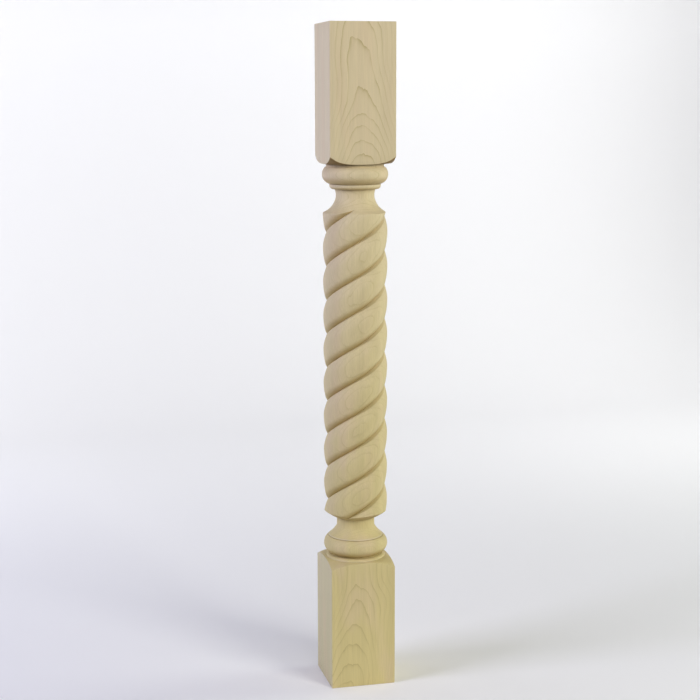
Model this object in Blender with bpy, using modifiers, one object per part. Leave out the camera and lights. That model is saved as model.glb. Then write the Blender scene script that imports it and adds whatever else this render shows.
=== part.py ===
"""Newel post of a stair, in metres with +Z up.

One length of square timber is turned in a lathe between its two square ends, and a rope of three
strands is carved along the turned length. The post stands on its underside at Z = 0, its faces
look along the axes, and its front is the face towards -Y.
"""

import math

import bmesh
import bpy
from mathutils import Vector

# The square timber, three and a half inches by thirty-five and a quarter
SIDE = 0.0889
HEIGHT = 0.89535
ARRIS = 0.0008

# The square ends, measured at the middle of a face, and the rounding of their shoulders
UPPER_END = 0.18305
UPPER_SHOULDER_FLAT = 0.0420
UPPER_SHOULDER_ROUND = 0.0256
LOWER_END = 0.1750
LOWER_SHOULDER_FLAT = 0.0360
LOWER_SHOULDER_ROUND = 0.0460

# Collar, bead and ovolo under the upper square end
UPPER_COLLAR_RADIUS = 0.0386
UPPER_COLLAR = 0.0042
UPPER_BEAD_TOP_RADIUS = 0.0400
UPPER_BEAD_FOOT_RADIUS = 0.0346
UPPER_BEAD = 0.0222
UPPER_BEAD_BULGE = 0.0067
OVOLO_RADIUS = 0.0344
OVOLO_BAND = 0.0014
OVOLO_FOOT_RADIUS = 0.0290
OVOLO = 0.0048
OVOLO_BULGE = 0.0016

# Upper neck and the cove that opens to the rim of the rope
UPPER_NECK_TOP_RADIUS = 0.0275
NECK_RADIUS = 0.0258
UPPER_NECK_HOLLOW = 0.0065
UPPER_NECK_SAG = 0.0003
UPPER_NECK = 0.0040
COVE = 0.0212
COVE_BULGE = 0.0040

# The rope: three plump strands, right-handed, with a sharp groove between each two. The crest of a
# strand lies above its middle, so its lower flank is the longer and falls away the slower.
STRANDS = 3
CREST_RADIUS = 0.0432
BLANK_ALLOWANCE = 0.0015
GROOVE_DEPTH = 0.0048
CREST_PLACE = 0.6
LOWER_PLUMPNESS = 2.1
UPPER_PLUMPNESS = 1.7
LEAD = 0.13766
GROOVE_ANGLE = math.radians(-132.9)
ROPE_END = 0.0112
ROPE_END_BULGE = 0.0008
ROPE_FOOT_RADIUS = 0.0268

# Lower neck, flare, bead and collar on the lower square end
LOWER_NECK = 0.0122
FLARE = 0.0132
FLARE_FOOT_RADIUS = 0.0374
FLARE_BULGE = 0.0010
LOWER_BEAD_TOP_RADIUS = 0.0380
LOWER_BEAD_FOOT_RADIUS = 0.0358
LOWER_BEAD = 0.0240
LOWER_BEAD_BULGE = 0.0067
LOWER_COLLAR_TOP_RADIUS = 0.0362
LOWER_COLLAR_RADIUS = 0.0404
LOWER_COLLAR = 0.0032
LOWER_COLLAR_BULGE = 0.0009

# Quirks: the narrow sunk lines that part one moulding from the next
QUIRK = 0.0008
QUIRK_DEPTH = 0.0014
WIDE_QUIRK = 0.0022
WIDE_QUIRK_DEPTH = 0.0025

# Facets of the rounds, and how far a cutter runs past the wood
TURN_STEPS = 36
STRAND_STEPS = 10
ARRIS_STEPS = 2
SHOULDER_STEPS = 8
BEAD_STEPS = 8
COVE_STEPS = 5
SMALL_ARC_STEPS = 3
COLLAR_STEPS = 2
SLEEVE_SIDES = 12
SLEEVE_OVERSIZE = 1.4
OVERRUN = 0.0040
MERGE = 0.00001
SHARP_ANGLE = math.radians(30)

WOOD_COLOUR = (0.584, 0.479, 0.287, 1.0)
WOOD_ROUGHNESS = 0.62


def height_of_rope_foot():
    """Height of the lower end of the rope: the stack of mouldings on the lower square end."""
    return (
        LOWER_END
        + LOWER_COLLAR
        + WIDE_QUIRK
        + LOWER_BEAD
        + FLARE
        + LOWER_NECK
    )


def height_of_cove_top():
    """Height where the upper neck turns into the cove: down from the upper square end."""
    return HEIGHT - (
        UPPER_END
        + UPPER_COLLAR
        + UPPER_BEAD
        + QUIRK
        + OVOLO_BAND
        + OVOLO
        + UPPER_NECK_HOLLOW
        + UPPER_NECK
    )


def arc(start, end, bulge, steps):
    """Points after start and up to end on an arc that rises by bulge outside the straight line.

    A negative bulge makes a hollow. Outside is on the left hand when going from start to end.
    """
    start = Vector(start)
    end = Vector(end)
    chord = end - start
    left = Vector((-chord.y, chord.x)).normalized()
    half = chord.length / 2
    radius = (half * half + bulge * bulge) / (2 * bulge)
    centre = (start + end) / 2 + left * (bulge - radius)
    arm = start - centre
    sweep = -4 * math.atan(bulge / half)
    points = []
    for step in range(1, steps):
        angle = sweep * step / steps
        turned = Vector(
            (
                arm.x * math.cos(angle) - arm.y * math.sin(angle),
                arm.x * math.sin(angle) + arm.y * math.cos(angle),
            )
        )
        points.append(tuple(centre + turned))
    points.append(tuple(end))
    return points


class Outline:
    """The outline that the lathe cuts, followed from the top down as (radius, height)."""

    def __init__(self, radius, height):
        self.points = [(radius, height)]

    @property
    def height(self):
        return self.points[-1][1]

    def line(self, radius, drop=0.0):
        self.points.append((radius, self.height - drop))

    def arc(self, radius, drop, bulge, steps):
        start = self.points[-1]
        self.points += arc(start, (radius, start[1] - drop), bulge, steps)

    def quirk(self, radius, height, depth):
        """A sunk line under a moulding: in by depth, down, and out to the next radius."""
        sunk = min(self.points[-1][0], radius) - depth
        self.line(sunk)
        self.line(sunk, height)
        self.line(radius)


def shoulder_bulge(round_radius):
    """Rise of a quarter circle over its chord."""
    return round_radius * (1 - math.cos(math.pi / 4))


def upper_mouldings(outline):
    """The full square end and its shoulder, then collar, bead, ovolo and the upper neck."""
    full_radius = UPPER_SHOULDER_FLAT + UPPER_SHOULDER_ROUND
    outline.line(full_radius)
    outline.line(full_radius, OVERRUN + UPPER_END - UPPER_SHOULDER_ROUND)
    bulge = shoulder_bulge(UPPER_SHOULDER_ROUND)
    outline.arc(UPPER_SHOULDER_FLAT, UPPER_SHOULDER_ROUND, bulge, SHOULDER_STEPS)
    outline.line(UPPER_COLLAR_RADIUS)
    outline.line(UPPER_COLLAR_RADIUS, UPPER_COLLAR)
    outline.line(UPPER_BEAD_TOP_RADIUS)
    outline.arc(UPPER_BEAD_FOOT_RADIUS, UPPER_BEAD, UPPER_BEAD_BULGE, BEAD_STEPS)
    outline.quirk(OVOLO_RADIUS, QUIRK, QUIRK_DEPTH)
    outline.line(OVOLO_RADIUS, OVOLO_BAND)
    outline.arc(OVOLO_FOOT_RADIUS, OVOLO, OVOLO_BULGE, SMALL_ARC_STEPS)
    outline.line(UPPER_NECK_TOP_RADIUS)
    outline.arc(NECK_RADIUS, UPPER_NECK_HOLLOW, -UPPER_NECK_SAG, SMALL_ARC_STEPS)
    outline.line(NECK_RADIUS, UPPER_NECK)


def rope_blank(outline):
    """The stretch that the rope is carved in, from the cove above it to its tapered foot."""
    blank_radius = CREST_RADIUS + BLANK_ALLOWANCE
    outline.arc(blank_radius, COVE, -COVE_BULGE, COVE_STEPS)
    end_top = height_of_rope_foot() + ROPE_END
    outline.line(blank_radius, outline.height - end_top)
    outline.arc(ROPE_FOOT_RADIUS, ROPE_END, ROPE_END_BULGE, SMALL_ARC_STEPS)


def lower_mouldings(outline):
    """Lower neck, flare, bead and collar, then the shoulder and the full lower square end."""
    outline.line(NECK_RADIUS)
    outline.line(NECK_RADIUS, LOWER_NECK)
    outline.arc(FLARE_FOOT_RADIUS, FLARE, -FLARE_BULGE, SMALL_ARC_STEPS)
    outline.line(LOWER_BEAD_TOP_RADIUS)
    outline.arc(LOWER_BEAD_FOOT_RADIUS, LOWER_BEAD, LOWER_BEAD_BULGE, BEAD_STEPS)
    outline.quirk(LOWER_COLLAR_TOP_RADIUS, WIDE_QUIRK, WIDE_QUIRK_DEPTH)
    outline.arc(LOWER_COLLAR_RADIUS, LOWER_COLLAR, LOWER_COLLAR_BULGE, COLLAR_STEPS)
    outline.line(LOWER_SHOULDER_FLAT)
    full_radius = LOWER_SHOULDER_FLAT + LOWER_SHOULDER_ROUND
    bulge = shoulder_bulge(LOWER_SHOULDER_ROUND)
    outline.arc(full_radius, LOWER_SHOULDER_ROUND, bulge, SHOULDER_STEPS)
    outline.line(full_radius, outline.height + OVERRUN)


def strand_section():
    """Section across the rope, from a groove at +X round: each strand swells and falls away again.

    Going round it this way crosses each strand from its upper groove to its lower one.
    """
    points = []
    for step in range(STRANDS * STRAND_STEPS):
        up_strand = 1 - (step % STRAND_STEPS) / STRAND_STEPS
        if up_strand < CREST_PLACE:
            fall = (1 - up_strand / CREST_PLACE) ** LOWER_PLUMPNESS
        else:
            fall = ((up_strand - CREST_PLACE) / (1 - CREST_PLACE)) ** UPPER_PLUMPNESS
        radius = CREST_RADIUS - GROOVE_DEPTH * fall
        angle = 2 * math.pi * step / (STRANDS * STRAND_STEPS)
        points.append((radius * math.cos(angle), radius * math.sin(angle), 0.0))
    return points


def collection(name):
    made = bpy.data.collections.new(name)
    bpy.context.scene.collection.children.link(made)
    return made


def object_from(bm, name, owner):
    mesh = bpy.data.meshes.new(name)
    bm.to_mesh(mesh)
    bm.free()
    made = bpy.data.objects.new(name, mesh)
    owner.objects.link(made)
    return made


def as_cutter(made):
    made.hide_render = True
    made.display_type = "WIRE"
    return made


def boolean(made, operation, tool):
    modifier = made.modifiers.new(operation.lower(), "BOOLEAN")
    modifier.operation = operation
    modifier.object = tool
    modifier.solver = "EXACT"


def timber(owner):
    """The square timber with its arrises eased."""
    bm = bmesh.new()
    bmesh.ops.create_cube(bm, size=1.0)
    bmesh.ops.scale(bm, verts=bm.verts, vec=(SIDE, SIDE, HEIGHT))
    bmesh.ops.translate(bm, verts=bm.verts, vec=(0.0, 0.0, HEIGHT / 2))
    made = object_from(bm, "newel_post", owner)
    bevel = made.modifiers.new("eased arrises", "BEVEL")
    bevel.width = ARRIS
    bevel.segments = ARRIS_STEPS
    return made


def turning(owner):
    """The solid of revolution that leaves the square ends whole and rounds what lies between."""
    outline = Outline(0.0, HEIGHT + OVERRUN)
    upper_mouldings(outline)
    rope_blank(outline)
    lower_mouldings(outline)
    outline.line(0.0)
    bm = bmesh.new()
    verts = [bm.verts.new((radius, 0.0, height)) for radius, height in outline.points]
    for above, below in zip(verts, verts[1:]):
        bm.edges.new((above, below))
    made = as_cutter(object_from(bm, "turning", owner))
    screw = made.modifiers.new("lathe", "SCREW")
    screw.steps = TURN_STEPS
    screw.render_steps = TURN_STEPS
    screw.use_merge_vertices = True
    screw.merge_threshold = MERGE
    return made


def strands(owner, bottom, top):
    """The rope itself, its section wound up the axis, longer than the stretch that is carved."""
    bottom = bottom - OVERRUN
    length = top + OVERRUN - bottom
    bm = bmesh.new()
    section = bm.faces.new([bm.verts.new(point) for point in strand_section()])
    start_angle = GROOVE_ANGLE + 2 * math.pi * (bottom - height_of_rope_foot()) / LEAD
    turn_per_step = 2 * math.pi / (STRANDS * STRAND_STEPS)
    steps = math.ceil(2 * math.pi * length / LEAD / turn_per_step)
    bmesh.ops.spin(
        bm,
        geom=[section],
        cent=(0.0, 0.0, 0.0),
        axis=(0.0, 0.0, 1.0),
        dvec=(0.0, 0.0, LEAD * turn_per_step / (2 * math.pi)),
        angle=turn_per_step * steps,
        steps=steps,
    )
    sides = [face for face in bm.faces if len(face.verts) == 4]
    bmesh.ops.triangulate(bm, faces=sides, quad_method="SHORT_EDGE")
    bmesh.ops.recalc_face_normals(bm, faces=bm.faces)
    made = as_cutter(object_from(bm, "strands", owner))
    made.location.z = bottom
    made.rotation_euler.z = start_angle
    return made


def grooves(owner):
    """What the carver takes away: a sleeve round the rope, less its strands.

    It starts half-way down the lower neck, where the wood is slimmer than the rope.
    """
    bottom = height_of_rope_foot() - LOWER_NECK / 2
    top = height_of_cove_top()
    sleeve_radius = CREST_RADIUS * SLEEVE_OVERSIZE
    bm = bmesh.new()
    bmesh.ops.create_cone(
        bm,
        cap_ends=True,
        segments=SLEEVE_SIDES,
        radius1=sleeve_radius,
        radius2=sleeve_radius,
        depth=top - bottom,
    )
    made = as_cutter(object_from(bm, "grooves", owner))
    made.location.z = (top + bottom) / 2
    boolean(made, "DIFFERENCE", strands(owner, bottom, top))
    return made


def bare_wood():
    """Pale close-grained timber, sanded and unfinished."""
    material = bpy.data.materials.new("bare_wood")
    material.use_nodes = True
    shader = material.node_tree.nodes["Principled BSDF"]
    shader.inputs["Base Color"].default_value = WOOD_COLOUR
    shader.inputs["Roughness"].default_value = WOOD_ROUGHNESS
    shader.inputs["Metallic"].default_value = 0.0
    material.diffuse_color = WOOD_COLOUR
    return material


def build():
    for old in list(bpy.data.objects):
        bpy.data.objects.remove(old)
    parts = collection("newel post")
    cutters = collection("cutters")
    post = timber(parts)
    boolean(post, "INTERSECT", turning(cutters))
    boolean(post, "DIFFERENCE", grooves(cutters))
    post.data.materials.append(bare_wood())
    post.data.set_sharp_from_angle(angle=SHARP_ANGLE)


build()
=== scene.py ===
"""Newel post of a stair, turned and carved from one length of pale timber, on a plain studio floor."""

import math

import bmesh
import bpy
from mathutils import Matrix, Vector


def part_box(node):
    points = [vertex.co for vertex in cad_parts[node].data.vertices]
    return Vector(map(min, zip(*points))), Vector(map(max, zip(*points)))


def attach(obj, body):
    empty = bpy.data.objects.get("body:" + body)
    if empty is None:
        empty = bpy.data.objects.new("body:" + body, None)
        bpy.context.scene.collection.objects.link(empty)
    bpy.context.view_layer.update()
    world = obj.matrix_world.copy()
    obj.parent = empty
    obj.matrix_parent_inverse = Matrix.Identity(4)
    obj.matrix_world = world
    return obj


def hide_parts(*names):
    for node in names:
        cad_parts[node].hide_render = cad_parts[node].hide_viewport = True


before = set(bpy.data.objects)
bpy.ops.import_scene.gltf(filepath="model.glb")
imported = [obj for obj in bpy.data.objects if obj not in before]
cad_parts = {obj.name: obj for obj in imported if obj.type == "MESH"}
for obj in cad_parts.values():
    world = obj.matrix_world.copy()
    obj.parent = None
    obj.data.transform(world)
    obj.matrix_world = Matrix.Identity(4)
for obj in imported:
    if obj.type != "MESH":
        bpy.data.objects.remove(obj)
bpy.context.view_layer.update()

# The post is one length of square timber, planed on four sides and left square at both ends.
# A lathe has rounded what lies between, with mouldings next to each square end, and a carver has
# cut a right-hand rope of three strands along the middle. It stands on its sawn underside.

# The square timber, in metres as all sizes here
lowest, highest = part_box("newel_post")
SIDE = highest[0] - lowest[0]
HEIGHT = highest[2] - lowest[2]
ARRIS = 0.0008
SAWN_EDGE = 0.0006

# From the upper square end down to the rim of the rope
UPPER_END = 0.18305
UPPER_SHOULDER_FLAT = 0.0420
UPPER_SHOULDER_ROUND = 0.0256
UPPER_COLLAR_RADIUS = 0.0386
UPPER_COLLAR = 0.0042
UPPER_BEAD_TOP_RADIUS = 0.0400
UPPER_BEAD_FOOT_RADIUS = 0.0346
UPPER_BEAD = 0.0222
UPPER_BEAD_BULGE = 0.0067
QUIRK = 0.0008
QUIRK_DEPTH = 0.0014
OVOLO_RADIUS = 0.0344
OVOLO_BAND = 0.0014
OVOLO_FOOT_RADIUS = 0.0290
OVOLO = 0.0048
OVOLO_BULGE = 0.0016
UPPER_NECK_TOP_RADIUS = 0.0275
NECK_RADIUS = 0.0258
UPPER_NECK_HOLLOW = 0.0065
UPPER_NECK_SAG = 0.0003
UPPER_NECK = 0.0040
COVE = 0.0212
COVE_BULGE = 0.0040

# The rope. What is a share of a strand's height is counted up from the groove under it
STRANDS = 3
LEAD = 0.13766
GROOVE_ANGLE = math.radians(-132.9)
CREST_RADIUS = 0.0432
CREST_PLACE = 0.6
GROOVE_DEPTH = 0.0048
LOWER_PLUMPNESS = 2.1
UPPER_PLUMPNESS = 1.7
ROLLED_EDGE = 0.22
ROLL_STEEPNESS = 2.5
CUT_EDGE = 0.04
CUT_DEPTH = 0.0040
BLANK_ALLOWANCE = 0.0015
RIM_EASING = 0.0010
ROPE_END = 0.0112
ROPE_END_BULGE = 0.0008
ROPE_FOOT_RADIUS = 0.0268

# From the foot of the rope down to the lower square end
LOWER_NECK = 0.0122
FLARE = 0.0132
FLARE_FOOT_RADIUS = 0.0374
FLARE_BULGE = 0.0010
BEAD_LINE = 0.0008
BEAD_LINE_DEPTH = 0.0011
LOWER_BEAD_TOP_RADIUS = 0.0380
LOWER_BEAD_FOOT_RADIUS = 0.0358
LOWER_BEAD = 0.0240
LOWER_BEAD_BULGE = 0.0067
WIDE_QUIRK = 0.0022
WIDE_QUIRK_DEPTH = 0.0025
LOWER_COLLAR_TOP_RADIUS = 0.0362
LOWER_COLLAR_RADIUS = 0.0404
LOWER_COLLAR = 0.0032
LOWER_COLLAR_BULGE = 0.0009
LOWER_END = 0.1750
LOWER_SHOULDER_FLAT = 0.0360
LOWER_SHOULDER_ROUND = 0.0460

# The heights where the lathe's work changes, counted up from the underside and down from the top
rope_foot = LOWER_END + LOWER_COLLAR + WIDE_QUIRK + LOWER_BEAD + FLARE + LOWER_NECK
neck_top = HEIGHT - UPPER_END - UPPER_COLLAR - UPPER_BEAD - QUIRK - OVOLO_BAND - OVOLO
cove_top = neck_top - UPPER_NECK_HOLLOW - UPPER_NECK

# The surface is a net of columns, which run down the post side by side and wind round it with the
# rope, so that each groove lies along one of them. Two columns to each side of an arris go round it
COLUMNS = 192
FACES = 4
ARRIS_COLUMNS = 2
CAP_RINGS = 5
SIDE_ROWS = 12
SHOULDER_ROWS = 10
BEAD_ROWS = 18
SMALL_ROWS = 6
COVE_ROWS = 14
ROPE_ROWS = 210
column_width = 2 * math.pi / COLUMNS
columns_per_strand = COLUMNS // STRANDS
columns_per_face = COLUMNS // FACES
groove_column = round(GROOVE_ANGLE / column_width)


def share(value, start, end):
    """How far value has come from start to end, from 0 to 1."""
    return min(max((value - start) / (end - start), 0.0), 1.0)


def twist(height):
    """The angle that the columns have wound round the post by this height."""
    at_foot = GROOVE_ANGLE - groove_column * column_width
    if height < rope_foot:
        return at_foot * share(height, rope_foot - LOWER_NECK, rope_foot)
    wound = at_foot + 2 * math.pi * (min(height, cove_top) - rope_foot) / LEAD
    whole_columns = round(wound / column_width) * column_width
    return wound + (whole_columns - wound) * share(height, cove_top, neck_top)


def strand_radius(column):
    """Radius of the rope along a column: least in a groove and greatest on a strand's crest.

    The carver's last strokes have rolled each strand's lower edge down into a sharp cut.
    """
    up_strand = 1 - ((column - groove_column) % columns_per_strand) / columns_per_strand
    if up_strand < CREST_PLACE:
        fall = (1 - up_strand / CREST_PLACE) ** LOWER_PLUMPNESS
    else:
        fall = ((up_strand - CREST_PLACE) / (1 - CREST_PLACE)) ** UPPER_PLUMPNESS
    rolled = (1 - share(up_strand, 0, ROLLED_EDGE)) ** ROLL_STEEPNESS
    opened = share(up_strand, 1 - CUT_EDGE, 1)
    return CREST_RADIUS - GROOVE_DEPTH * fall - CUT_DEPTH * max(rolled, opened)


def arc_point(start, end, bulge, part):
    """A point part of the way along an arc that swells by bulge to the left of start to end."""
    start, end = Vector(start), Vector(end)
    chord = end - start
    left = Vector((-chord.y, chord.x)).normalized()
    half = chord.length / 2
    radius = (half * half + bulge * bulge) / (2 * bulge)
    centre = (start + end) / 2 + left * (bulge - radius)
    arm = start - centre
    whole_arc = 4 * math.atan(bulge / half)
    arm.rotate(Matrix.Rotation(-whole_arc * part, 2))
    return tuple(centre + arm)


def arc_rows(start, end, bulge, rows, first=0.0, last=1.0):
    """Points along the arc after first and up to last."""
    parts = [first + (last - first) * row / rows for row in range(1, rows + 1)]
    return [arc_point(start, end, bulge, part) for part in parts]


HALVINGS = 40


def part_at_radius(start, end, bulge, radius):
    """How far along the arc it reaches this radius, found by halving."""
    low, high = 0.0, 1.0
    outward = end[0] > start[0]
    for _ in range(HALVINGS):
        middle = (low + high) / 2
        if (arc_point(start, end, bulge, middle)[0] < radius) == outward:
            low = middle
        else:
            high = middle
    return low


def square_point(column):
    """Where a column runs down the face of a square end, with the arrises eased."""
    half_face = columns_per_face // 2
    from_arris = column % columns_per_face - half_face
    turn = Matrix.Rotation((column - from_arris - half_face) * column_width, 2)
    half = SIDE / 2
    arris_angle = math.pi / FACES
    if abs(from_arris) <= ARRIS_COLUMNS:
        around = arris_angle * (1 + from_arris / ARRIS_COLUMNS)
        corner = Vector((half - ARRIS, half - ARRIS))
        return turn @ (corner + ARRIS * Vector((math.cos(around), math.sin(around))))
    angle = arris_angle + from_arris * column_width
    reach = half / max(math.cos(angle), math.sin(angle))
    return turn @ Vector((reach * math.cos(angle), reach * math.sin(angle)))


def shoulder_height(radius, flat, rounding):
    """How far the shoulder has risen off its flat at this radius."""
    out = max(radius - flat, 0.0)
    return rounding - math.sqrt(rounding * rounding - out * out)


def eased(before, corner, after):
    """Three points that take the sharpness off a corner."""
    before, corner, after = Vector(before), Vector(corner), Vector(after)
    return [tuple(before), tuple((before + 2 * corner + after) / 4), tuple(after)]


def square_end(radius, flat, rounding, shoulder, end):
    """Points of one column from the middle of a sawn end out over its edge and down to the shoulder.

    The sawn end is at height end and the flat of the shoulder at height shoulder.
    """
    into = 1 if end > shoulder else -1
    points = [(radius * ring / CAP_RINGS, end) for ring in range(1, CAP_RINGS)]
    points += eased((radius - SAWN_EDGE, end), (radius, end), (radius, end - into * SAWN_EDGE))
    edge = shoulder + into * shoulder_height(radius, flat, rounding)
    top = end - into * SAWN_EDGE
    foot = edge + into * SAWN_EDGE
    points += [(radius, top + (foot - top) * row / SIDE_ROWS) for row in range(1, SIDE_ROWS)]
    inner = radius - SAWN_EDGE
    under = shoulder + into * shoulder_height(inner, flat, rounding)
    points += eased((radius, foot), (radius, edge), (inner, under))
    swing = math.asin(share(inner, flat, flat + rounding))
    for row in range(1, SHOULDER_ROWS + 1):
        angle = swing * (1 - row / SHOULDER_ROWS)
        height = shoulder + into * rounding * (1 - math.cos(angle))
        points.append((flat + rounding * math.sin(angle), height))
    return points


def quirk(outer, inner, height, drop, depth):
    """The sunk line between two mouldings, from the radius above it to the radius below it."""
    sunk = min(outer, inner) - depth
    return [(sunk, height), (sunk, height - drop), (inner, height - drop)]


def upper_mouldings():
    """From the flat of the upper shoulder down to the top of the cove."""
    collar_top = HEIGHT - UPPER_END
    collar_foot = collar_top - UPPER_COLLAR
    bead_foot = collar_foot - UPPER_BEAD
    points = [(UPPER_COLLAR_RADIUS, collar_top), (UPPER_COLLAR_RADIUS, collar_foot)]
    points.append((UPPER_BEAD_TOP_RADIUS, collar_foot))
    points += arc_rows(points[-1], (UPPER_BEAD_FOOT_RADIUS, bead_foot), UPPER_BEAD_BULGE, BEAD_ROWS)
    points += quirk(UPPER_BEAD_FOOT_RADIUS, OVOLO_RADIUS, bead_foot, QUIRK, QUIRK_DEPTH)
    points.append((OVOLO_RADIUS, neck_top + OVOLO))
    points += arc_rows(points[-1], (OVOLO_FOOT_RADIUS, neck_top), OVOLO_BULGE, SMALL_ROWS)
    points.append((UPPER_NECK_TOP_RADIUS, neck_top))
    hollow_foot = (NECK_RADIUS, neck_top - UPPER_NECK_HOLLOW)
    points += arc_rows(points[-1], hollow_foot, -UPPER_NECK_SAG, SMALL_ROWS)
    points.append((NECK_RADIUS, cove_top))
    return points


def rope(column):
    """From the top of the cove, out to the rim, down the rope and in again to its foot."""
    blank = CREST_RADIUS + BLANK_ALLOWANCE
    radius = strand_radius(column)
    cove = ((NECK_RADIUS, cove_top), (blank, cove_top - COVE), -COVE_BULGE)
    points = arc_rows(*cove, COVE_ROWS, last=part_at_radius(*cove, radius - RIM_EASING))
    rim_corner = arc_point(*cove, part_at_radius(*cove, radius))
    rim = rim_corner[1] - RIM_EASING
    points += eased(points[-1], rim_corner, (radius, rim))[1:]
    end = ((blank, rope_foot + ROPE_END), (ROPE_FOOT_RADIUS, rope_foot), ROPE_END_BULGE)
    start = part_at_radius(*end, radius)
    shoulder = arc_point(*end, start)[1]
    points += [(radius, rim + (shoulder - rim) * row / ROPE_ROWS) for row in range(1, ROPE_ROWS + 1)]
    points += arc_rows(*end, SMALL_ROWS, first=start)
    return points


def lower_mouldings():
    """From the foot of the rope down to the flat of the lower shoulder."""
    flare_top = rope_foot - LOWER_NECK
    bead_top = flare_top - FLARE
    bead_foot = bead_top - LOWER_BEAD
    points = [(NECK_RADIUS, rope_foot), (NECK_RADIUS, flare_top)]
    points += arc_rows(points[-1], (FLARE_FOOT_RADIUS, bead_top), -FLARE_BULGE, SMALL_ROWS)
    points += quirk(FLARE_FOOT_RADIUS, LOWER_BEAD_TOP_RADIUS, bead_top, BEAD_LINE, BEAD_LINE_DEPTH)
    points += arc_rows(points[-1], (LOWER_BEAD_FOOT_RADIUS, bead_foot), LOWER_BEAD_BULGE, BEAD_ROWS)
    points += quirk(LOWER_BEAD_FOOT_RADIUS, LOWER_COLLAR_TOP_RADIUS, bead_foot,
                    WIDE_QUIRK, WIDE_QUIRK_DEPTH)
    points += arc_rows(points[-1], (LOWER_COLLAR_RADIUS, LOWER_END), LOWER_COLLAR_BULGE, SMALL_ROWS)
    return points


def at_angle(radius, angle, height):
    """The place at this radius and angle round the post."""
    return (radius * math.cos(angle), radius * math.sin(angle), height)


def square_column(column, points):
    """Places the points of a square end, easing from the face's own spacing to the even one."""
    face = square_point(column)
    face_angle = math.atan2(face.y, face.x)
    even_angle = column * column_width
    drift = (face_angle - even_angle + math.pi) % (2 * math.pi) - math.pi
    placed = []
    for step, (radius, height) in enumerate(points):
        over_shoulder = share(step, len(points) - 1 - SHOULDER_ROWS, len(points) - 1)
        placed.append(at_angle(radius, even_angle + drift * (1 - over_shoulder), height))
    return placed


def post_column(column):
    """All the points of one column, from the top of the post to its underside."""
    top_column = column + round(twist(HEIGHT) / column_width)
    reach = square_point(top_column).length
    upper = square_end(reach, UPPER_SHOULDER_FLAT, UPPER_SHOULDER_ROUND, HEIGHT - UPPER_END, HEIGHT)
    placed = square_column(top_column, upper)
    for radius, height in upper_mouldings() + rope(column) + lower_mouldings():
        placed.append(at_angle(radius, column * column_width + twist(height), height))
    reach = square_point(column).length
    lower = square_end(reach, LOWER_SHOULDER_FLAT, LOWER_SHOULDER_ROUND, LOWER_END, 0.0)
    return placed + square_column(column, lower)[::-1]


net = bmesh.new()
columns = [[net.verts.new(point) for point in post_column(column)] for column in range(COLUMNS)]
top_centre = net.verts.new((0.0, 0.0, HEIGHT))
foot_centre = net.verts.new((0.0, 0.0, 0.0))
for column in range(COLUMNS):
    here, there = columns[column], columns[(column + 1) % COLUMNS]
    for row in range(len(here) - 1):
        face = net.faces.new((here[row], here[row + 1], there[row + 1], there[row]))
        face.smooth = True
    net.faces.new((top_centre, here[0], there[0]))
    net.faces.new((foot_centre, there[-1], here[-1]))

# The bottom of each groove is sharp, from the foot of the rope up into the lower half of the cove
for strand in range(STRANDS):
    groove = columns[(groove_column + strand * columns_per_strand) % COLUMNS]
    for above, below in zip(groove, groove[1:]):
        if rope_foot < below.co.z and above.co.z < cove_top - COVE / 2:
            net.edges.get((above, below)).smooth = False
bmesh.ops.recalc_face_normals(net, faces=net.faces)
post_mesh = bpy.data.meshes.new("turned_and_carved_post")
net.to_mesh(post_mesh)
net.free()
post = bpy.data.objects.new("turned_and_carved_post", post_mesh)
bpy.context.scene.collection.objects.link(post)

# The mouldings' corners are sharp too. Marking them clears the grooves, which are marked again
CRISP_ANGLE = math.radians(35)
in_groove = [edge.use_edge_sharp for edge in post_mesh.edges]
post_mesh.set_sharp_from_angle(angle=CRISP_ANGLE)
for edge, sharp in zip(post_mesh.edges, in_groove):
    edge.use_edge_sharp = edge.use_edge_sharp or sharp

# The wood is bare and sanded. Its yearly rings lie round the heart of the tree, which leans and
# wanders behind the front face, so that face shows them as pointed arches, one in another, each
# strand of the rope as small ovals, and the left face as straight lines.
wood = bpy.data.materials.new("bare_wood")
wood.use_nodes = True
nodes = wood.node_tree.nodes
links = wood.node_tree.links
shader = nodes["Principled BSDF"]


def feed(node, values):
    """Gives a node's inputs their values, in order: a number or colour, or another node's output."""
    for socket, value in zip(node.inputs, values):
        if isinstance(value, bpy.types.NodeSocket):
            links.new(value, socket)
        else:
            socket.default_value = value


def maths(operation, *values):
    """One sum, worked out at each place on the wood."""
    node = nodes.new("ShaderNodeMath")
    node.operation = operation
    feed(node, values)
    return node.outputs[0]


def ranged(value, span, outcome=(0.0, 1.0)):
    """Eases from the first outcome to the second as value crosses the span."""
    node = nodes.new("ShaderNodeMapRange")
    node.interpolation_type = "SMOOTHSTEP"
    feed(node, (value, *span, *outcome))
    return node.outputs[0]


def blend(kind, part, under, over):
    """Colour over laid on colour under."""
    node = nodes.new("ShaderNodeMix")
    node.data_type = "RGBA"
    node.blend_type = kind
    sockets = {socket.identifier: socket for socket in node.inputs}
    for identifier, value in (("Factor_Float", part), ("A_Color", under), ("B_Color", over)):
        if isinstance(value, bpy.types.NodeSocket):
            links.new(value, sockets[identifier])
        else:
            sockets[identifier].default_value = value
    return next(socket for socket in node.outputs if socket.identifier == "Result_Color")


def distance(x, y):
    """How far a place is from a line up the post, when it is x to the side of it and y behind."""
    return maths("SQRT", maths("ADD", maths("MULTIPLY", x, x), maths("MULTIPLY", y, y)))


place = nodes.new("ShaderNodeTexCoord")
apart = nodes.new("ShaderNodeSeparateXYZ")
links.new(place.outputs["Object"], apart.inputs[0])
across_x, across_y, up = apart.outputs


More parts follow.
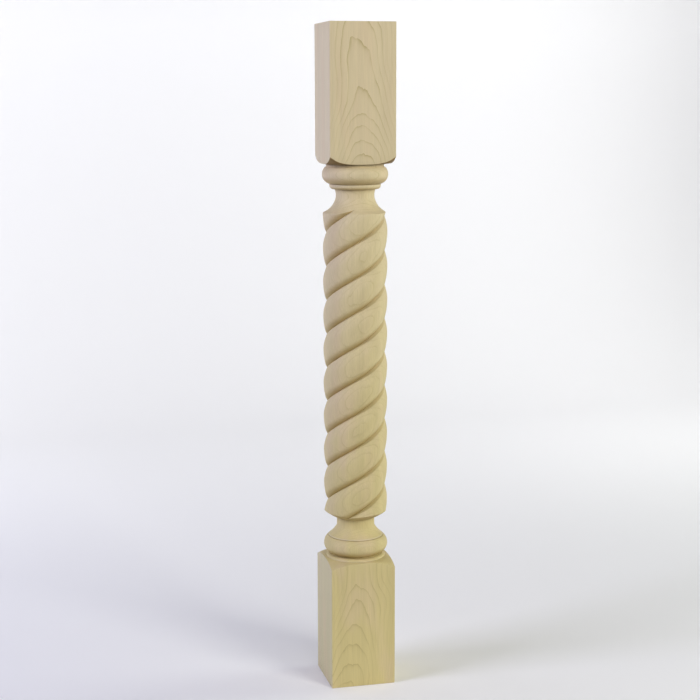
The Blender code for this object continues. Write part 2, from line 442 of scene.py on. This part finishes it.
def flecks(across, along, detail, offset):
    """Noise from 0 to 1, its lumps so long across the grain and along it, in metres."""
    stretched = nodes.new("ShaderNodeVectorMath")
    stretched.operation = "MULTIPLY_ADD"
    stretch = (1 / across, 1 / across, 1 / along)
    feed(stretched, (place.outputs["Object"], stretch, (offset, offset, offset)))
    noise = nodes.new("ShaderNodeTexNoise")
    noise.inputs["Scale"].default_value = 1.0
    noise.inputs["Detail"].default_value = detail
    links.new(stretched.outputs[0], noise.inputs["Vector"])
    return noise.outputs["Fac"]


# Noise and curves run from 0 to 1, and half way stands for no length at all
MIDDLE = 0.5


def about_zero(value, span):
    """Turns a value from 0 to 1 into a length to either side of nothing."""
    return maths("MULTIPLY", maths("SUBTRACT", value, MIDDLE), span)


CURVE_SPAN = 0.2


def up_the_post(places):
    """A length that changes smoothly up the post through these (height, length) places."""
    curve = nodes.new("ShaderNodeFloatCurve")
    points = curve.mapping.curves[0].points
    for _ in places[2:]:
        points.new(MIDDLE, MIDDLE)
    for point, (height, length) in zip(points, places):
        point.location = (height / HEIGHT, MIDDLE + length / CURVE_SPAN)
    curve.mapping.update()
    feed(curve, (1.0, maths("DIVIDE", up, HEIGHT)))
    return about_zero(curve.outputs[0], CURVE_SPAN)


# How wide a year's ring is, and at each height how far the heart lies behind the front face and to
# the right of the middle. The rings also wander, slowly and in small waves.
RING = 0.0026
HEART_BEHIND_FRONT = ((0.0, 0.0613), (0.0316, 0.0643), (0.0625, 0.0675), (0.0876, 0.0704),
                      (0.1271, 0.0736), (0.144, 0.0760), (0.168, 0.0764), (0.215, 0.0760),
                      (0.450, 0.0685), (0.700, 0.0645), (0.729, 0.0679), (0.744, 0.0706),
                      (0.7644, 0.0739), (0.7801, 0.0763), (0.8125, 0.0786), (0.8796, 0.0802),
                      (HEIGHT, 0.0814))
HEART_SIDEWAYS = ((0.0, -0.0240), (0.0316, -0.0160), (0.0625, -0.0135), (0.0876, -0.0080),
                  (0.1271, -0.0015), (0.168, -0.0045), (0.240, 0.0005), (0.700, 0.0005),
                  (0.729, 0.0033), (0.7641, 0.0012), (0.7801, 0.0022), (0.8125, 0.0010),
                  (0.845, -0.0050), (0.8796, -0.0040), (HEIGHT, -0.0050))
SLOW_WANDER = 0.0050
SMALL_WANDER = 0.0016

slow = about_zero(flecks(across=0.045, along=0.110, detail=1.0, offset=3.7), SLOW_WANDER)
small = about_zero(flecks(across=0.010, along=0.035, detail=2.0, offset=8.1), SMALL_WANDER)
behind = maths("SUBTRACT", maths("ADD", up_the_post(HEART_BEHIND_FRONT), -SIDE / 2), across_y)
sideways = maths("SUBTRACT", across_x, up_the_post(HEART_SIDEWAYS))
from_heart = maths("ADD", distance(sideways, behind), maths("ADD", slow, small))
rings = maths("DIVIDE", from_heart, RING)

# A ring darkens a little through the year and ends in a thin line of late wood. The lines differ in
# strength, and are fainter to the sides of the heart, in patches, and on turned and sanded wood.
SOFT_DARKENING = 0.15
SOFT_DARKENING_POWER = 3.0
THIN_LINE_POWER = 12.0
RING_STRENGTHS = (0.60, 1.0)
BESIDE_HEART = (0.020, 0.042)
BESIDE_HEART_STRENGTH = (1.0, 0.30)
FAINT_PATCH_NOISE = (0.34, 0.52)
FAINT_PATCH_STRENGTH = (0.45, 1.0)
TURNED_TO_SQUARE = (0.0434, 0.0444)
TURNED_STRENGTH = (0.50, 1.0)

through_ring = maths("FRACT", rings)
which_ring = nodes.new("ShaderNodeTexWhiteNoise")
which_ring.noise_dimensions = "1D"
links.new(maths("FLOOR", rings), which_ring.inputs["W"])
ring_strength = ranged(which_ring.outputs["Value"], (0.0, 1.0), RING_STRENGTHS)
beside_heart = ranged(maths("ABSOLUTE", sideways), BESIDE_HEART, BESIDE_HEART_STRENGTH)
patches = flecks(across=0.016, along=0.045, detail=1.0, offset=5.3)
ring_fading = maths("MULTIPLY", beside_heart, ranged(patches, FAINT_PATCH_NOISE, FAINT_PATCH_STRENGTH))
darkening = maths("MULTIPLY", maths("POWER", through_ring, SOFT_DARKENING_POWER), SOFT_DARKENING)
late = maths("ADD", darkening, maths("POWER", through_ring, THIN_LINE_POWER))
turned = ranged(distance(across_x, across_y), TURNED_TO_SQUARE, TURNED_STRENGTH)
late = maths("MULTIPLY", maths("MULTIPLY", late, turned), maths("MULTIPLY", ring_strength, ring_fading))

# The wood is yellower at the foot of the post and paler at its top, with painted cool light on the
# left face and rosy patches. Pores, fibres and long streaks break up the colour.
FOOT_WOOD = (0.610, 0.516, 0.238, 1.0)
TOP_WOOD = (0.668, 0.565, 0.352, 1.0)
FOOT_LEFT_FACE_COOL_LIGHT = (0.570, 0.515, 0.295, 1.0)
TOP_LEFT_FACE_COOL_LIGHT = (0.678, 0.582, 0.378, 1.0)
ROSY_WOOD = (0.655, 0.515, 0.330, 1.0)
LATE_WOOD = (0.430, 0.345, 0.150, 1.0)
FOOT_TO_TOP = (0.05, 0.85)
LEFT_FACE_LIGHT_DEPTH = (0.0002, 0.0010)
ROSY_NOISE = (0.45, 0.72)
ROSY_STRENGTH = (0.0, 0.48)
PORE_NOISE = (0.62, 0.74)
PORE_STRENGTH = 0.16
FIBRE_NOISE = (0.25, 0.75)
FIBRE_SHADE = (0.945, 1.045)
STREAK_NOISE = (0.3, 0.7)
STREAK_SHADE = (0.975, 1.025)

fibres = flecks(across=0.0009, along=0.045, detail=3.0, offset=1.3)
pores = ranged(flecks(across=0.0007, along=0.010, detail=2.0, offset=6.4), PORE_NOISE)
broad = flecks(across=0.030, along=0.150, detail=2.0, offset=7.7)
streaks = flecks(across=0.0075, along=0.700, detail=1.0, offset=9.2)
up_post = ranged(up, FOOT_TO_TOP)
# Painted cool light: the left face is given a cooler colour, as if lit by the cool window on that side.
painted_left_light = ranged(maths("ADD", across_x, SIDE / 2), LEFT_FACE_LIGHT_DEPTH, (1.0, 0.0))
colour = blend("MIX", up_post, FOOT_WOOD, TOP_WOOD)
colour = blend("MIX", painted_left_light, colour, blend("MIX", up_post, FOOT_LEFT_FACE_COOL_LIGHT, TOP_LEFT_FACE_COOL_LIGHT))
colour = blend("MIX", ranged(broad, ROSY_NOISE, ROSY_STRENGTH), colour, ROSY_WOOD)
colour = blend("MIX", late, colour, LATE_WOOD)
colour = blend("MIX", maths("MULTIPLY", pores, PORE_STRENGTH), colour, LATE_WOOD)
streaky = maths("MULTIPLY", ranged(fibres, FIBRE_NOISE, FIBRE_SHADE),
                ranged(streaks, STREAK_NOISE, STREAK_SHADE))
shade = nodes.new("ShaderNodeCombineColor")
feed(shade, (streaky, streaky, streaky))
colour = blend("MULTIPLY", 1.0, colour, shade.outputs[0])

# The sawn top shows dull end grain, and so, more faintly, do other faces square to the post's length.
# What looks down has painted shade, deepest under the upper shoulder, and the cuts hold painted
# shade. Handling has polished the edges.
END_GRAIN = (0.90, 0.86, 0.80, 1.0)
PAINTED_UNDERSIDE_SHADE = (0.80, 0.73, 0.59, 1.0)
PAINTED_SHOULDER_SHADE = (0.50, 0.42, 0.27, 1.0)
PAINTED_CUT_SHADE = (0.93, 0.87, 0.78, 1.0)
BURNISH = (1.0, 0.97, 0.90, 1.0)
FACING_ALONG = (0.80, 1.0)
SAWN_TOP_DEPTH = (0.002, 0.010)
SAWN_TOP_STRENGTH = (1.0, 0.15)
FACING_DOWN = (-0.75, -0.10)
SHOULDER_SHADE_FADE = 0.002
CUT_POINTINESS = (0.36, 0.485)
EDGE_POINTINESS = (0.53, 0.60)
EDGE_STRENGTH = (0.0, 0.35)

facing = nodes.new("ShaderNodeSeparateXYZ")
links.new(place.outputs["Normal"], facing.inputs[0])
facing_up = facing.outputs[2]
sawn = ranged(maths("SUBTRACT", HEIGHT, up), SAWN_TOP_DEPTH, SAWN_TOP_STRENGTH)
end_grain = maths("MULTIPLY", ranged(maths("ABSOLUTE", facing_up), FACING_ALONG), sawn)
colour = blend("MULTIPLY", end_grain, colour, END_GRAIN)
# Painted shade: whatever faces down is darkened.
painted_shade_below = ranged(facing_up, FACING_DOWN, (1.0, 0.0))
colour = blend("MULTIPLY", painted_shade_below, colour, PAINTED_UNDERSIDE_SHADE)
# Painted shade, darker still, on the underside of the upper shoulder.
shoulder_flat = HEIGHT - UPPER_END
above_flat = ranged(up, (shoulder_flat - SHOULDER_SHADE_FADE, shoulder_flat))
colour = blend("MULTIPLY", maths("MULTIPLY", painted_shade_below, above_flat), colour, PAINTED_SHOULDER_SHADE)
pointiness = nodes.new("ShaderNodeNewGeometry").outputs["Pointiness"]
# Painted shade in the cuts and hollows, where the surface is least pointy.
colour = blend("MULTIPLY", ranged(pointiness, CUT_POINTINESS, (1.0, 0.0)), colour, PAINTED_CUT_SHADE)
worn = ranged(pointiness, EDGE_POINTINESS, EDGE_STRENGTH)
colour = blend("MIX", worn, colour, BURNISH)
links.new(colour, shader.inputs["Base Color"])

# Sanded wood is dull, end grain duller, and worn edges smoother. Late wood and fibres stand a little
# proud of the rest, and pores are sunk.
SHEEN = 0.32
ROUGHNESS_NOISE = (0.2, 0.8)
SANDED_ROUGHNESS = (0.56, 0.68)
END_GRAIN_ROUGHER = 0.12
WORN_SMOOTHER = 0.15
LATE_RELIEF = 0.5
FIBRE_RELIEF = 0.8
PORE_RELIEF = 0.5
RELIEF_STRENGTH = 0.5
RELIEF_DEPTH = 0.00012

end_roughness = maths("MULTIPLY", end_grain, END_GRAIN_ROUGHER)
rough = maths("ADD", ranged(fibres, ROUGHNESS_NOISE, SANDED_ROUGHNESS), end_roughness)
rough = maths("SUBTRACT", rough, maths("MULTIPLY", worn, WORN_SMOOTHER))
links.new(rough, shader.inputs["Roughness"])
shader.inputs["Specular IOR Level"].default_value = SHEEN
proud = maths("ADD", maths("MULTIPLY", late, LATE_RELIEF), maths("MULTIPLY", fibres, FIBRE_RELIEF))
relief = maths("SUBTRACT", proud, maths("MULTIPLY", pores, PORE_RELIEF))
bump = nodes.new("ShaderNodeBump")
bump.inputs["Strength"].default_value = RELIEF_STRENGTH
bump.inputs["Distance"].default_value = RELIEF_DEPTH
links.new(relief, bump.inputs["Height"])
links.new(bump.outputs[0], shader.inputs["Normal"])
post_mesh.materials.append(wood)

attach(post, "root")
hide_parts("newel_post")

# The studio floor is one sheet of matt white paper that curves up behind the post. It isn't part
# of the object.
PAPER_HALF_WIDTH = 2.6
PAPER_FRONT = -0.5
PAPER_BACK = 1.6
SWEEP_RADIUS = 1.0
SWEEP_STEPS = 24
PAPER_TOP = 3.6
PAPER_WHITE = (0.90, 0.90, 0.90, 1.0)
PAPER_ROUGHNESS = 0.9
PAPER_SHEEN = 0.1

sheet = bmesh.new()
swept = [(PAPER_FRONT, 0.0)]
for step in range(SWEEP_STEPS + 1):
    swung = math.pi / 2 * step / SWEEP_STEPS
    swept.append((PAPER_BACK + SWEEP_RADIUS * math.sin(swung), SWEEP_RADIUS * (1 - math.cos(swung))))
swept.append((PAPER_BACK + SWEEP_RADIUS, PAPER_TOP))
edges = [[sheet.verts.new((x, y, z)) for x in (-PAPER_HALF_WIDTH, PAPER_HALF_WIDTH)] for y, z in swept]
for near, far in zip(edges, edges[1:]):
    sheet.faces.new((near[0], near[1], far[1], far[0])).smooth = True
paper_mesh = bpy.data.meshes.new("paper_floor")
sheet.to_mesh(paper_mesh)
sheet.free()
paper = bpy.data.objects.new("paper_floor", paper_mesh)
bpy.context.scene.collection.objects.link(paper)
matt_white = bpy.data.materials.new("matt_white_paper")
matt_white.use_nodes = True
paper_shader = matt_white.node_tree.nodes["Principled BSDF"]
paper_shader.inputs["Base Color"].default_value = PAPER_WHITE
paper_shader.inputs["Roughness"].default_value = PAPER_ROUGHNESS
paper_shader.inputs["Specular IOR Level"].default_value = PAPER_SHEEN
paper_mesh.materials.append(matt_white)

# Soft boxes stand round the post in a dim white room: the key light in front on the right, a cooler
# window on the left, one in front and one low on either side. Two more light the paper behind.
BOX_SIZE = 0.9
POST_MIDDLE = Vector((0.0, 0.0, 0.48))
BACKDROP_LEFT = Vector((-0.6, 2.6, 0.9))
BACKDROP_RIGHT = Vector((0.6, 2.6, 0.9))
WHITE = (1.0, 1.0, 1.0)
SOFT_BOXES = (
    ("right_key", (1.03, -1.79, 1.23), POST_MIDDLE, 26.0, (1.0, 0.99, 0.92)),
    ("left_window", (-1.90, -0.40, 1.44), POST_MIDDLE, 28.0, (0.77, 0.76, 1.0)),
    ("front_fill", (0.0, -2.01, 1.37), POST_MIDDLE, 9.5, (1.0, 0.98, 0.97)),
    ("left_kicker", (-1.80, 1.20, 0.45), POST_MIDDLE, 8.0, (0.62, 0.64, 1.0)),
    ("right_kicker", (2.18, 0.19, 0.95), POST_MIDDLE, 17.5, (0.96, 1.0, 0.93)),
    ("left_wash", (-1.5, 1.0, 1.3), BACKDROP_LEFT, 17.0, WHITE),
    ("right_wash", (1.5, 1.0, 1.3), BACKDROP_RIGHT, 16.0, WHITE),
)
for name, stand, aim, watts, tint in SOFT_BOXES:
    lamp = bpy.data.lights.new(name, "AREA")
    lamp.size = BOX_SIZE
    lamp.energy = watts
    lamp.color = tint
    soft_box = bpy.data.objects.new(name, lamp)
    soft_box.location = stand
    soft_box.rotation_euler = (Vector(stand) - aim).to_track_quat("Z", "Y").to_euler()
    bpy.context.scene.collection.objects.link(soft_box)

ROOM_GLOW = 0.03
room = bpy.data.worlds.new("white_room")
room.use_nodes = True
walls = room.node_tree.nodes["Background"]
walls.inputs["Color"].default_value = (*WHITE, 1.0)
walls.inputs["Strength"].default_value = ROOM_GLOW
bpy.context.scene.world = room
bpy.context.scene.view_settings.view_transform = "Standard"

# The camera stands two metres off, a little left of the post's front, and looks slightly down at
# it through a long lens.
CAMERA_STAND = (-0.48919, -1.96650, 0.80102)
HEADING = math.radians(-13.7667)
LOOKING_DOWN = math.radians(9.5169)
ROLL = math.radians(-0.1252)
LENS_MM = 77.988
SENSOR_MM = 36.0
NEAREST_SEEN = 0.05

camera = bpy.data.objects.new("camera", bpy.data.cameras.new("camera"))
camera.data.lens = LENS_MM
camera.data.sensor_width = SENSOR_MM
camera.data.clip_start = NEAREST_SEEN
tilted = Matrix.Rotation(math.pi / 2 - LOOKING_DOWN, 4, "X")
aimed = Matrix.Rotation(HEADING, 4, "Z") @ tilted @ Matrix.Rotation(ROLL, 4, "Z")
camera.matrix_world = Matrix.Translation(CAMERA_STAND) @ aimed
bpy.context.scene.collection.objects.link(camera)
bpy.context.scene.camera = camera
